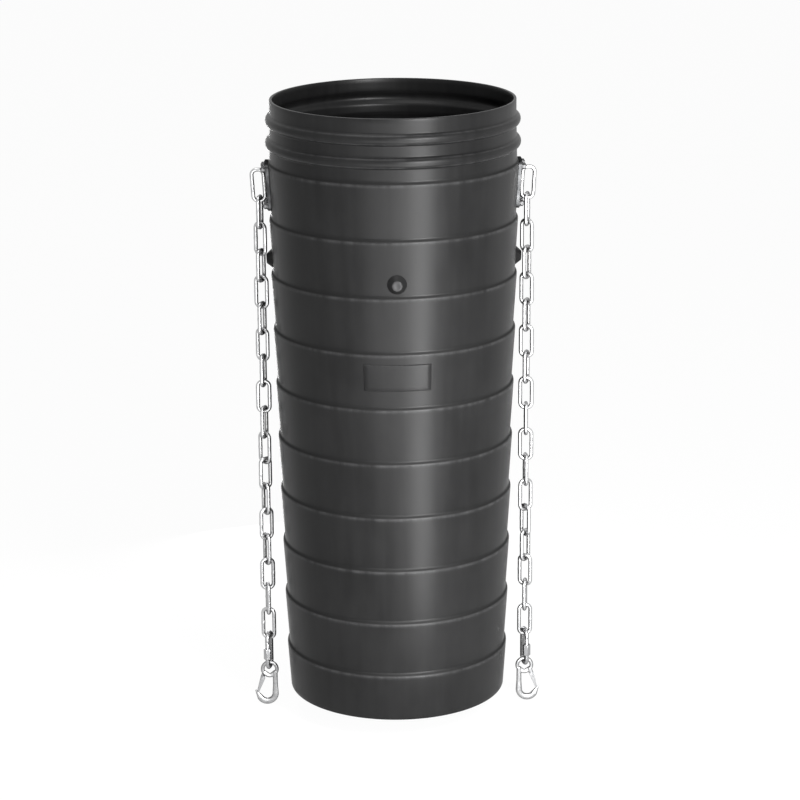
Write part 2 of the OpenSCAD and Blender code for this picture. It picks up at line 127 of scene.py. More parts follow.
# Anchor plates and what holds them
ANCHOR_DEPTH = 154 * MM
PLATE_T = 5 * MM
BOLT_RISE = 66 * MM
BOLT_SPAN = 40 * MM
SEAT_GAP = 0.1 * MM
WASHER_T = 1.6 * MM
NUT_AF = 10 * MM
NUT_H = 5 * MM
NUT_BORE_R = 3.1 * MM
NUT_FACE = 0.96
NUT_CONE = 1.2
NUT_EASE = 0.4 * MM
BOLT_D = 6 * MM
BOLT_END = 1.5 * MM
BOLT_EASE = 0.6 * MM
HEAD_D = 16 * MM
HEAD_H = 3.6 * MM
WASHER_D = 14 * MM
WASHER_EASE = 0.25 * MM
WASHER_PLAY = 0.25 * MM

# Stop studs
STUD_DEPTH = 287 * MM
STUD_OUT = 10.5 * MM
STUD_SCREW_IN = 7 * MM
# Outline of a stud in millimetres: radii, and heights over the wall
STUD_R = (0, 16.4, 17, 17, 16.6, 15.6, 13.5, 11.4, 9.6, 9.0, 8.4, 7.6, 5.5, 5.0, 4.4, 0)
STUD_H = (-0.4, -0.4, -0.2, 0.5, 1, 2, 4.4, 6.8, 9, 9.7, 10.2, 10.5, 10.5, 10.4, 10.2, 10.15)
STUD_AROUND = 64
STUD_TURNS = {"right": 0, "back": 90, "left": 180, "front": 270}

# Chain links and quick links: wire, inner length, inner width, straight middle of an end
WIRE_D = 7 * MM
LINK_L = 49 * MM
LINK_W = 14 * MM
CROWN = 3 * MM
QUICK_D = 8 * MM
QUICK_L = 58 * MM
QUICK_W = 17 * MM
QUICK_GAP = 8 * MM
QUICK_GAP_AT = -4.5 * MM
THREAD_PITCH = 1.25 * MM
THREAD_DEEP = 0.3 * MM
UPPER_THREAD_L = 20 * MM
LOWER_THREAD_L = 6 * MM
WELD_SWELL = 0.35 * MM
WELD_L = 1.8 * MM
SEAM_L = 30 * MM
SEAM_R = 1.9 * MM
SEAM_DROP = 2.2 * MM
SEAM_RIPPLE = 0.12
SEAM_IN = 2.0 * MM
SEAM_OFF = 2.9 * MM
# Reach of the rub wear and painted shade at a link's ends, and the painted shade on the side of the wire
# facing the hole
RUB_SHADE_R = 3.5 * MM
INNER_SHADE = 0.7
LINK_POINTS = 84
LINK_SIDES = 18
QUICK_SIDES = 24
QUICK_END_EASE = 0.5 * MM
QUICK_END_FACE = 0.02 * MM
SLEEVE_L = 21 * MM
SLEEVE_AF = 12.5 * MM
SLEEVE_AT = -3.5 * MM
SLEEVE_BORE_R = 4.3 * MM
HANG_GAP = 0.3 * MM

# Snap hooks
EYE_HOLE_D = 19.5 * MM
EYE_WIRE_D = 7 * MM
HOOK_BACK = 10 * MM
BEND_R = 15.4 * MM
BEND_DOWN = 48.4 * MM
BACK_TAPER_L = 16 * MM
BEND_ANGLE = 150
TIP_L = 15.5 * MM
TIP_D = 3 * MM
BOSS_T = 4.4 * MM
BOSS_SIDE = -4.4 * MM
FORGE_CELL = 0.5 * MM
# Facing past which a hook's skin counts as flank and takes painted shade
FLAT_FACE = 0.95
EYE_WEB = 2.8 * MM
# Eye's filled corners, in shares of its radius: how far out and down each starts, and how far it falls
WEB_OUT = 0.86
WEB_TOP = 0.32
WEB_FALL = 0.62
# How square the bars' sections are
RING_POWER = 2.3
WEB_POWER = 2.4
BACK_POWER = 2.7
BOSS_POWER = 3.0
# Lengths over which the hook's top and tip close
TOP_CAP = 0.3 * MM
TOP_EASE = 1.5 * MM
TIP_CAP = 0.4 * MM
# Half thickness of the hook's bar in millimetres, from its top to its tip: in its plane, and out of it
HOOK_HALF = (0, 3.2, 4.4, 4.7, 5.8, 5.7, 1.2, 0)
HOOK_FLAT = (0, 2.8, 4.1, 4.3, 4.9, 4.7, 1.2, 0)
# Line of the latch pin's boss in millimetres from the eye's middle, and its half thickness along that line
BOSS_LINE = ((9.5, -4), (10.6, -8), (11.8, -12), (13, -16.5), (13.9, -19.7))
BOSS_POINTS = 18
BOSS_AT = (0, 1, 3, 12, 14, 16, 17)
BOSS_HALF = (0, 3, 3.6, 4.2, 4.1, 2.6, 0)

# Latch springs
LATCH_LEAN = 19
LEG_SLANT = 9
SPRING_D = 0.8 * MM
SPRING_R = 3 * MM
SPRING_TURNS = 2.25
SPRING_Y = 0.7 * MM
SPRING_PITCH = 1.25 * MM
LEG_DOWN = 12 * MM
LEG_UP = 4.5 * MM

# Finishes: tones of the painted shade on a step's slope and in hollows, of metal seen edge-on, of bare metal
# with painted shade, and of a weld
SLOPE_SHADE_TONE = (0.003, 0.003, 0.003, 1)
HOLLOW_SHADE_TONE = (0.004, 0.004, 0.004, 1)
EDGE_TONE = (0.2, 0.2, 0.205, 1)
BARE_AND_SHADE_TONE = (0.15, 0.148, 0.146, 1)
WELD_TONE = (0.45, 0.45, 0.46, 1)
# Roughness that a slope and a weld add
SLOPE_DULL = 0.3
WELD_DULL = 0.29
# How much each unevenness counts, and how streaks are drawn out upright
STREAK_SHARE = 0.45
CLOUD_SHARE = 0.55
GRAIN_SHARE = 0.25
BLOOM_SHARE = 0.75
STREAK_STRETCH = (1.0, 1.0, 0.06)
# Plastics from their deepest to their palest tone, with the tone of their scuffs and painted highlights, and
# metals from bright to tarnished
PLASTICS = {
    "shell_plastic": dict(
        deep=(0.0045, 0.0045, 0.0046), pale=(0.0085, 0.0085, 0.0086), worn_and_lit=(0.021, 0.021, 0.0214),
        rough=0.38, specular=0.125,
    ),
    "stud_plastic": dict(
        deep=(0.004, 0.004, 0.0041), pale=(0.007, 0.007, 0.0071), worn_and_lit=(0.022, 0.022, 0.0225),
        rough=0.48, specular=0.14,
    ),
}
COARSE = dict(spangle=0.45, patch=60, crystal=160)
BURNT = dict(spangle=0.35, patch=260, crystal=1200)
METALS = {
    "chain_zinc": dict(bright=(0.58, 0.58, 0.583), dull=(0.36, 0.363, 0.37), rough=0.26, rub_and_painted_light=True),
    "quick_link_zinc": dict(bright=(0.46, 0.46, 0.463), dull=(0.29, 0.292, 0.298), rough=0.24, rub_and_painted_light=True),
    "sleeve_nut_zinc": dict(bright=(0.44, 0.44, 0.444), dull=(0.3, 0.303, 0.31), rough=0.22),
    "hook_zinc": dict(bright=(0.4, 0.4, 0.4), dull=(0.22, 0.222, 0.228), rough=0.36, patch=140, rub_and_painted_light=True),
    "latch_zinc": dict(bright=(0.46, 0.46, 0.464), dull=(0.3, 0.304, 0.312), rough=0.24),
    "fastener_zinc": dict(bright=(0.5, 0.5, 0.51), dull=(0.34, 0.345, 0.35), rough=0.28),
    "spring_wire": dict(bright=(0.56, 0.57, 0.58), dull=(0.4, 0.41, 0.42), rough=0.25),
    "plate_steel": dict(bright=(0.085, 0.086, 0.088), dull=(0.04, 0.041, 0.042), rough=0.4, **COARSE),
    "dark_fastener_steel": dict(bright=(0.14, 0.14, 0.142), dull=(0.06, 0.0605, 0.062), rough=0.36),
    "weld_steel": dict(bright=(0.3, 0.298, 0.295), dull=(0.12, 0.119, 0.118), rough=0.4, **BURNT),
}

# Camera of the photograph, and the stage
CAMERA_AWAY = 4.7
CAMERA_UP = 0.7916
CAMERA_PITCH = 15.981
CAMERA_YAW = 0.109
CAMERA_ROLL = -0.423
CAMERA_AZIMUTH = -1.3
CAMERA_FOCUS_PX = 2688.9
IMAGE_PX = 800
SENSOR_MM = 36
FLOOR_DROP = 3 * MM
FLOOR_R = 60
FLOOR_WHITE = 0.955
FLOOR_TONE = 0.95
ROOM_LIGHT = 0.3
# Soft lamps: place, aim, width, height and watts
LAMPS = {
    "strip_lamp": ((0.355, -0.90, -0.60), (0.046, -0.215, -0.60), 0.22, 1.1, 21),
    "low_lamp": ((0.24, -0.60, -1.02), (0.05, -0.195, -0.98), 0.14, 0.22, 1.4),
    "front_lamp": ((-0.10, -1.25, -0.62), (0, -0.2, -0.62), 0.9, 1.0, 12),
    "mouth_lamp": ((0.75, -1.75, 0.50), (0, 0, 0), 0.35, 0.6, 72),
    "side_lamp": ((2.4, 0.9, 0.0), (0, 0, -0.6), 0.8, 2.2, 4),
    "back_lamp": ((-0.29, 1.06, -0.64), (0, 0.2, -0.64), 0.25, 1.0, 9),
    "top_lamp": ((-0.4, -0.6, 2.6), (0, 0, -0.2), 1.6, 1.6, 40),
}


def band_top_r(k):
    """Outer radius at the top of band k: a slow loss of radius over the upper bands, then a steady one."""
    below = np.asarray(k, float) - 1
    slow = np.minimum(below, UPPER_BANDS)
    return FIRST_BAND_R - UPPER_DROP * slow - BAND_DROP * np.maximum(below - UPPER_BANDS, 0)


def band_end_r(k):
    """Outer radius at the lower end of band k: one step in from the next band's top."""
    return band_top_r(np.asarray(k) + 1) - STEP_OUT


def band_at(depth):
    """Number of the band at a depth, counted from 1."""
    return np.clip(np.floor((depth - FIRST_STEP) / STEP_PITCH) + 1, 1, STEP_COUNT)


def band_fall(k):
    """Loss of radius over depth along band k."""
    return (band_top_r(k) - band_end_r(k)) / (STEP_PITCH - SHOULDER_H)


def band_r(depth):
    """Outer radius of the bands, carried on straight past their ends."""
    k = band_at(depth)
    return band_top_r(k) - band_fall(k) * (depth - FIRST_STEP - STEP_PITCH * (k - 1) - SHOULDER_H)


def outline_r(depth):
    """Outer radius of the shell with sharp corners: rim, taper with two round beads, then stepped bands."""
    neck_r = band_end_r(0)
    fall = np.clip((depth - RIM_BAND_H) / (FIRST_STEP - RIM_BAND_H), 0, 1)
    head = RIM_R - (RIM_R - neck_r) * fall
    bead_r = (BEAD_H**2 / 4 + BEAD_OUT**2) / (2 * BEAD_OUT)
    for bead in BEADS:
        arc = np.sqrt(np.maximum(bead_r**2 - (depth - bead) ** 2, 0)) - (bead_r - BEAD_OUT)
        head = head + np.maximum(arc, 0)
    k = band_at(depth)
    into = np.clip((depth - FIRST_STEP - STEP_PITCH * (k - 1)) / SHOULDER_H, 0, 1)
    shoulder = band_end_r(k - 1) + (band_top_r(k) - band_end_r(k - 1)) * into
    return np.where(depth < FIRST_STEP, head, np.where(into < 1, shoulder, band_r(depth)))


def eased_r(depth, ease):
    """The outline averaged over a bell-shaped window of width `ease`, which rounds its corners."""
    fine = np.arange(-EASE_MARGIN, SHELL_H / MM + EASE_MARGIN, EASE_STEP) * MM
    reach = np.arange(-4 * ease, 4 * ease, EASE_STEP * MM)
    bell = np.exp(-0.5 * (reach / ease) ** 2)
    held = outline_r(np.clip(fine, 0, SHELL_H))
    smooth = np.convolve(np.pad(held, len(bell), mode="edge"), bell / bell.sum(), mode="same")
    return np.interp(depth, fine, smooth[len(bell) : -len(bell)])


def shell_depths(spread):
    """Depths at which the outline is drawn: close together at beads and steps, wide apart along the bands."""
    steps = FIRST_STEP + STEP_PITCH * np.arange(STEP_COUNT)
    fine = (steps[:, None] + MM * np.r_[NEAR_STEP, ALONG_BAND][None, ::spread]).ravel()
    head_end = RIM_BAND_H + BEAD_PITCH + BEAD_H + UNDER_BEADS
    head = np.arange(RIM_BAND_H - ABOVE_BEADS, head_end, BEAD_ROW * spread)
    depths = np.unique(np.r_[LIP_EASE, MM * np.array(HEAD_ROWS), SHELL_H - LIP_EASE, head, fine])
    return depths[(depths >= LIP_EASE) & (depths <= SHELL_H - LIP_EASE)]


def bead_rub_and_highlight(depth):
    """Marks of the head, as a height: a thin line along each bead's two shoulders, scuffed with painted
    highlight, beside a painted shade line.

    Each line is a bell-shaped amount of the distance from it.
    """
    off = np.abs(np.asarray(depth)[None, :] - np.array(BEADS)[:, None]) - BEAD_SHOULDER
    rub_and_painted_light = np.exp(-0.5 * (off / BEAD_LINE) ** 2)
    # The dull line is painted shade beside the painted highlight
    dull = np.exp(-0.5 * (off / BEAD_LINE - SHADE_LINE_OFF) ** 2)
    return BEAD_RUB_AND_HIGHLIGHT * (rub_and_painted_light - SHADE_LINE_SHARE * dull).sum(axis=0)


def step_slope(depth):
    """How much a depth lies on a step's slope: a parabola, 1 half way down it and 0 before its corners."""
    into = np.where(depth < FIRST_STEP, 0, np.mod(depth - FIRST_STEP, STEP_PITCH) / SHOULDER_H)
    return np.clip(8 * into * (1 - into) - 1, 0, 1)


def shell_loop():
    """Closed outline of the wall: radius, depth, a mark of scuffs with painted highlight and of painted
    shade, and where it is a step's slope, which takes painted shade.
    """
    down, up = shell_depths(1), shell_depths(2)[::-1]
    outer, inner = eased_r(down, OUTER_EASE), eased_r(up, INNER_EASE) - WALL
    corner = np.array(LIP_CORNER)
    top = np.r_[inner[-1] + LIP_EASE * corner, outer[0] - LIP_EASE * corner[::-1]]
    top_depth = LIP_EASE * np.array([corner[0], 0, 0, corner[0]])
    low = np.r_[outer[-1] - LIP_EASE * corner, inner[0] + LIP_EASE * corner[::-1]]
    low_depth = SHELL_H - top_depth
    in_head = down < FIRST_STEP + MM * NEAR_STEP[0]
    # Painted highlight where the steps' outer corners stand proud, painted shade in the recess above each
    # step, and the beads' lines of painted highlight and shade
    wear_light_and_shade = np.where(in_head, bead_rub_and_highlight(down), outer - eased_r(down, WIDE_EASE))
    # Both lips of the wall are scuffed paler, with painted highlight
    rim = np.full(len(top), RIM_WEAR_AND_HIGHLIGHT)
    r = np.r_[outer, low, inner, top]
    depth = np.r_[down, low_depth, up, top_depth]
    plain = np.zeros(len(r) - len(down))
    return r, depth, np.r_[wear_light_and_shade, rim, np.zeros_like(inner), rim], np.r_[step_slope(down), plain]


def grid(points, wrap_u=False, wrap_v=False):
    """Points of a grid as one list, and its quads, each between (i, j), (i+1, j), (i+1, j+1) and (i, j+1)."""
    nu, nv = points.shape[:2]
    i, j = np.meshgrid(
        np.arange(nu if wrap_u else nu - 1), np.arange(nv if wrap_v else nv - 1), indexing="ij"
    )
    k, m = (i + 1) % nu, (j + 1) % nv
    quads = np.stack([i * nv + j, k * nv + j, k * nv + m, i * nv + m], axis=-1).reshape(-1, 4)
    points = points.reshape(-1, 3)
    # Six times the signed volume between the quads and the origin: positive where they face away from it
    a, b, c, d = (points[quads[:, n]] for n in range(4))
    volume = np.einsum("ij,ij->", a, np.cross(b, c)) + np.einsum("ij,ij->", a, np.cross(c, d))
    return points, quads if volume > 0 else quads[:, ::-1]


def joined(surfaces):
    """Several surfaces as one list of points and one of quads."""
    starts = np.cumsum([0] + [len(points) for points, _ in surfaces[:-1]])
    points = np.concatenate([points for points, _ in surfaces])
    return points, np.concatenate([quads + start for (_, quads), start in zip(surfaces, starts)])


def piece(name, surface, material, body, stands_for=(), sharp=None, marks=None):
    """A mesh object of a surface that moves with a body.

    marks are named values of its points for the finish.
    """
    points, quads = surface
    mesh = bpy.data.meshes.new(name)
    mesh.from_pydata(points, [], quads)
    for mark, values in (marks or {}).items():
        mesh.attributes.new(mark, "FLOAT", "POINT").data.foreach_set("value", np.asarray(values, np.float32))
    work = bmesh.new()
    work.from_mesh(mesh)
    bmesh.ops.remove_doubles(work, verts=work.verts, dist=1e-7)
    work.to_mesh(mesh)
    work.free()
    mesh.shade_smooth()
    if sharp is not None:
        mesh.set_sharp_from_angle(angle=math.radians(sharp))
    mesh.materials.append(material)
    thing = bpy.data.objects.new(name, mesh)
    bpy.context.collection.objects.link(thing)
    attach(thing, body)
    if stands_for:
        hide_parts(*stands_for)
    return thing


def placed(points, origin, x_axis, y_axis, z_axis):
    """Points drawn in a piece's own axes, put where those axes stand in the part."""
    return origin + points[..., :1] * x_axis + points[..., 1:2] * y_axis + points[..., 2:] * z_axis


def wall_axes(depth, turn):
    """A place on the wall's outer face and the axes there: sideways along it, down it, and out of it."""
    lean = math.atan(float(band_fall(band_at(depth))))
    out = np.array([math.cos(math.radians(turn)), math.sin(math.radians(turn)), 0])
    up = np.array([0, 0, 1.0])
    down = -math.sin(lean) * out - math.cos(lean) * up
    place = float(band_r(depth)) * out - depth * up
    return place, np.cross(up, out), down, math.cos(lean) * out - math.sin(lean) * up


def circle(count):
    """Angles of equal steps round a full circle."""
    return np.linspace(0, 2 * np.pi, count, endpoint=False)


def turned(profile_r, profile_h, around):
    """A surface of revolution about the local Z axis: each profile point goes round a full circle."""
    angle = circle(around)[:, None]
    r, h = np.asarray(profile_r)[None, :], np.asarray(profile_h)[None, :]
    return np.stack([r * np.cos(angle), r * np.sin(angle), h + 0 * angle], axis=-1)


def hexagon(af, height, bore_r, around=96):
    """A hexagon nut standing on the local Z axis, with a corner on X.

    At an angle a the flats are at af / 2 / cos(a - nearest flat), and near the ends a cone cuts the corners,
    so the outer radius is the lesser of the two. The bore closes the ring, with its mouths eased.
    """
    angle = circle(around)[:, None]
    from_flat = np.mod(angle, np.pi / 3) - np.pi / 6
    flats = af / 2 / np.cos(from_flat)
    corner = af / 2 * (1 / math.cos(math.pi / 6) - 1)
    rise = corner * np.array([0, 0.2, 0.45, 0.7, 1.0])
    outer_h = np.r_[rise, height / 2, height - rise[::-1]][None, :]
    cone = NUT_FACE * af / 2 + np.minimum(outer_h, height - outer_h) * NUT_CONE
    ease = NUT_EASE
    bore = np.array([bore_r + ease, bore_r, bore_r, bore_r + ease])[None, :] + 0 * angle
    bore_h = np.array([height, height - ease, ease, 0])[None, :]
    r = np.concatenate([np.minimum(flats, cone), bore], axis=1)
    h = np.concatenate([outer_h, bore_h], axis=1) + 0 * angle
    return np.stack([r * np.cos(angle), r * np.sin(angle), h], axis=-1)


def loop_line(half_w, half_l):
    """A line round an upright rectangle with round corners: four quarter circles from its upper right."""
    corner = half_w - CROWN / 2
    quarter = np.radians(np.linspace(0, 90, 16))[None, :] + np.radians([0, 90, 180, 270])[:, None]
    centre = np.array([[1, 1], [-1, 1], [-1, -1], [1, -1]]) * [half_w - corner, half_l - corner]
    line = centre[:, None, :] + corner * np.stack([np.cos(quarter), np.sin(quarter)], axis=-1)
    return line.reshape(-1, 2)


def loop_path(half_w, half_l, count):
    """The same line closed and drawn in equal steps."""
    line = loop_line(half_w, half_l)
    return even_steps(np.r_[line, line[:1]], count + 1)[:-1]


def line_length(line):
    """Distance along a line at each of its points."""
    return np.r_[0, np.cumsum(np.linalg.norm(np.diff(line, axis=0), axis=1))]


def on_line(line, at):
    """Points of a line at given distances along it."""
    gone = line_length(line)
    return np.stack([np.interp(at, gone, line[:, n]) for n in range(line.shape[1])], axis=-1)


def even_steps(line, count):
    """The same line drawn with `count` points at equal distances along it."""
    return on_line(line, np.linspace(0, line_length(line)[-1], count))


def bar(path, half_in, half_out, power=2.0, sides=20, closed=False):
    """A bar carried along a flat path in the XZ plane.

    Across each path point stands a section |x / a|^p + |y / b|^p = 1, with half width a in the path's plane
    and b out of it. p = 2 is round, and more is squarer. Either half width may also change round the section.
    """
    step = np.roll(path, -1, 0) - np.roll(path, 1, 0) if closed else np.gradient(path, axis=0)
    along = step / np.linalg.norm(step, axis=1, keepdims=True)
    phi = circle(sides)[None, :]
    across = np.sign(np.cos(phi)) * np.abs(np.cos(phi)) ** (2 / power) * half_in.reshape(len(path), -1)
    out = np.sign(np.sin(phi)) * np.abs(np.sin(phi)) ** (2 / power) * half_out.reshape(len(path), -1)
    x = path[:, None, 0] + across * along[:, None, 1]
    z = path[:, None, 1] - across * along[:, None, 0]
    return np.stack([x, out, z], axis=-1)


def loop_rub_and_shade(points, inner):
    """How much a loop's wire is darkened: rub wear with painted shade at its ends, and painted shade on its
    inner side.

    At the ends it is a bell-shaped amount of the distance from the inside of an end, at the height `inner`.
    Round the section it is 0 on the outer half, and most where the wire faces the hole, as painted shade.
    """
    ends = np.exp(-((np.abs(points[..., 2]) - inner) ** 2 + points[..., 0] ** 2) / (2 * RUB_SHADE_R**2))
    inward = -np.cos(circle(points.shape[1]))
    return np.maximum(ends, INNER_SHADE * np.clip(inward, 0, 1)[None, :]).ravel()


def joint_of(child):
    """Place and axis of the joint that carries a body."""
    joint = next(j for j in frame["record"]["behaviour"]["joints"] if j["child"] == child)
    return np.array(joint["pos_m"]), np.array(joint["axis"])


def hanging_axes(below):
    """Where a loop of wire hangs, and its axes, from the joint of the body that turns about its lower end."""
    crown, axis = joint_of(below)
    up = np.array([0, 0, 1.0]) - axis * axis[2]
    up /= np.linalg.norm(up)
    return crown, axis, np.cross(up, axis), up


def middle_of(node):
    """Centre of a solid's box."""
    low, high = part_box(node)
    return (np.array(low) + np.array(high)) / 2


def moulded_shell(material):
    """The wall's closed outline turned about the chute's axis, with the bare plate on its front."""
    r, depth, wear_light_and_shade, slope = shell_loop()
    wall = grid(turned(r, -depth, AROUND), True, True)
    plate, plate_light_and_shade = raised_plate()
    marks = {
        "wear_light_and_shade": np.r_[np.tile(wear_light_and_shade, AROUND), plate_light_and_shade] / MM,
        "slope": np.r_[np.tile(slope, AROUND), np.zeros_like(plate_light_and_shade)],
    }
    surface = joined([wall, plate])
    piece("moulded_shell", surface, material, "chute", ["shell"], sharp=50, marks=marks)


def raised_plate():
    """A patch of the wall lifted off it: its height is a smooth step over a narrow border, both ways. Its
    mark is a painted highlight along the upper half of the border and painted shade at its foot.
    """
    border = PANEL_EDGE * np.array([0, 0.2, 0.4, 0.6, 0.8])

    def across(length, count):
        middle = np.linspace(PANEL_EDGE, length - PANEL_EDGE, count)
        return np.r_[border, middle, length - border[::-1]] - length / 2

    def lift(place, length):
        rise = np.clip((length / 2 - np.abs(place)) / PANEL_EDGE, 0, 1)
        return rise * rise * (3 - 2 * rise)

    u, v = across(PANEL_W, 18)[:, None], across(PANEL_H, 8)[None, :]
    share = lift(u, PANEL_W) * lift(v, PANEL_H)
    r = band_r(PANEL_DEPTH + v) + (PANEL_OUT + PANEL_SUNK) * share - PANEL_SUNK
    turn = u / float(band_r(PANEL_DEPTH)) - np.pi / 2
    points = np.stack([r * np.cos(turn), r * np.sin(turn), -PANEL_DEPTH - v + 0 * r], axis=-1)
    # Painted highlight on the upper half of the border, painted shade on its lower half at the foot
    return grid(points), (MM * np.sin(2 * np.pi * (share - 0.5))).ravel()


def stop_stud(name, turn, material):
    """A blunt cone on the wall: a turned profile whose foot sinks with the wall, by y * y / 2R."""
    r, h = MM * np.array(STUD_R), MM * np.array(STUD_H)
    origin, along, down, out = wall_axes(STUD_DEPTH, turn)
    points = turned(r, h, STUD_AROUND)
    foot = np.clip(1 - points[..., 2] / STUD_OUT, 0, 1)
    points[..., 2] -= foot * points[..., 1] ** 2 / (2 * float(band_r(STUD_DEPTH)))
    points = placed(points, origin, down, along, out)
    # The flat top is scuffed paler with painted highlight, and the flanks are a little darker
    marks = {"wear_light_and_shade": np.tile(np.where(h > 0.9 * STUD_OUT, 0.8, -0.3), STUD_AROUND)}
    node = name + "_stop_stud"
    surface = grid(points, True)
    piece(name + "_bump_stop", surface, material, "chute", [node], sharp=40, marks=marks)


def at_bolts(points, out_by):
    """One surface at each of the eight bolt places, on its wall, so far out of it."""
    sideways = math.degrees(math.asin(BOLT_SPAN / 2 / float(band_r(ANCHOR_DEPTH))))
    surfaces = []
    for side_turn in (0, 180):
        for rise in (-0.5, 0.5):
            for turn in (-sideways, sideways):
                origin, along, down, out = wall_axes(ANCHOR_DEPTH + rise * BOLT_RISE, side_turn + turn)
                surfaces.append(grid(placed(points, origin + out_by * out, down, along, out), True, True))
    return joined(surfaces)


def bolt_profile(shank_l):
    """Outline of a cup-headed bolt on the Z axis, as radius and height.

    The head's arc lies below 0 and the shank above it, with an eased end.
    """
    arc = np.radians(np.linspace(0, 90, 8))
    r = np.r_[HEAD_D / 2 * np.sin(arc), BOLT_D / 2, BOLT_D / 2, BOLT_D / 2 - BOLT_EASE, 0]
    h = np.r_[-HEAD_H * np.cos(arc), 0, shank_l - BOLT_EASE, shank_l, shank_l]
    return r, h


def fasteners(material):
    """Bolts, washers and nuts of the anchor plates, and the screws of the stop studs."""
    shank = WALL + PLATE_T + WASHER_T + NUT_H + BOLT_END + 4 * SEAT_GAP
    inside = -WALL - 2 * SEAT_GAP
    bolts = at_bolts(turned(*bolt_profile(shank), around=28), inside)
    piece("plate_bolts", bolts, material, "chute", ["anchor_bolts"], sharp=40)
    ease = WASHER_EASE
    hole, rim = BOLT_D / 2 + WASHER_PLAY, WASHER_D / 2
    r = np.array([hole, rim - ease, rim, rim, rim - ease, hole])
    h = np.array([0, 0, ease, WASHER_T - ease, WASHER_T, WASHER_T])
    over_plate = PLATE_T + 2 * SEAT_GAP
    washers = at_bolts(turned(r, h, around=40), over_plate)
    piece("plate_washers", washers, material, "chute", ["anchor_washers"], sharp=40)
    nuts = at_bolts(hexagon(NUT_AF, NUT_H, NUT_BORE_R), over_plate + WASHER_T)
    piece("plate_nuts", nuts, material, "chute", ["anchor_nuts"], sharp=30)
    screw = turned(*bolt_profile(WALL + 2 * SEAT_GAP + STUD_SCREW_IN), around=28)
    screws = []
    for turn in STUD_TURNS.values():
        origin, along, down, out = wall_axes(STUD_DEPTH, turn)
        screws.append(grid(placed(screw, origin + inside * out, down, along, out), True))
    surface = joined(screws)
    piece("bump_stop_screws", surface, material, "chute", ["stud_screws"], sharp=40)


def chain_link(side, number, material):
    """A closed loop of round wire.

    The wire swells at the weld, half way along one leg, by a bell-shaped amount. Its rub mark grows towards
    the inside of both ends, where its neighbours hang, as rub wear with painted shade, and holds painted
    shade on the side of the wire facing the hole.
    """
    body = "chute" if number == 1 else f"{side}_link_{number:02d}"
    below = f"{side}_quick_link" if number == LINKS else f"{side}_link_{number + 1:02d}"
    crown, x_axis, y_axis, z_axis = hanging_axes(below)
    half_l, half_w = (LINK_L + WIRE_D) / 2, (LINK_W + WIRE_D) / 2
    path = loop_path(half_w, half_l, LINK_POINTS)
    weld_leg = half_w if number % 2 else -half_w
    from_weld = (path[:, 0] - weld_leg) ** 2 + path[:, 1] ** 2
    swell = WELD_SWELL * np.exp(-from_weld / (2 * WELD_L**2))
    points = bar(path, WIRE_D / 2 + swell, WIRE_D / 2 + swell, closed=True, sides=LINK_SIDES)
    marks = {"rub_and_shade": loop_rub_and_shade(points, LINK_L / 2), "weld": np.repeat(swell / WELD_SWELL, LINK_SIDES)}
    points = placed(points, crown + half_l * z_axis, x_axis, y_axis, z_axis)
    name = f"{side}_link_{number:02d}"
    piece(name + "_wire", grid(points, True, True), material, body, [name], marks=marks)


def weld_seams(side, material):
    """Two seams where a chain's first link lies on its plate: round beads along its inner leg, one each side.

    Their radius rises and falls with each drop of metal and runs out at both ends.
    """
    crown, x_axis, y_axis, z_axis = hanging_axes(f"{side}_link_02")
    inward = -SIDES[side] * np.sign(x_axis[0])
    half_l, half_w = (LINK_L + WIRE_D) / 2, (LINK_W + WIRE_D) / 2
    place = np.linspace(-1, 1, 120)
    run_out = np.sqrt(np.clip(1 - place**8, 0, 1))
    r = SEAM_R * run_out * (1 + SEAM_RIPPLE * np.cos(2 * np.pi * place * SEAM_L / 2 / SEAM_DROP))
    path = np.stack([np.full_like(place, inward * (half_w + SEAM_IN)), place * SEAM_L / 2], axis=-1)
    seams = []
    for hand in (-1, 1):
        points = bar(path, r, r, sides=14) + [0, hand * SEAM_OFF, 0]
        seams.append(grid(placed(points, crown + half_l * z_axis, x_axis, y_axis, z_axis), False, True))
    piece(side + "_weld_seams", joined(seams), material, "chute")


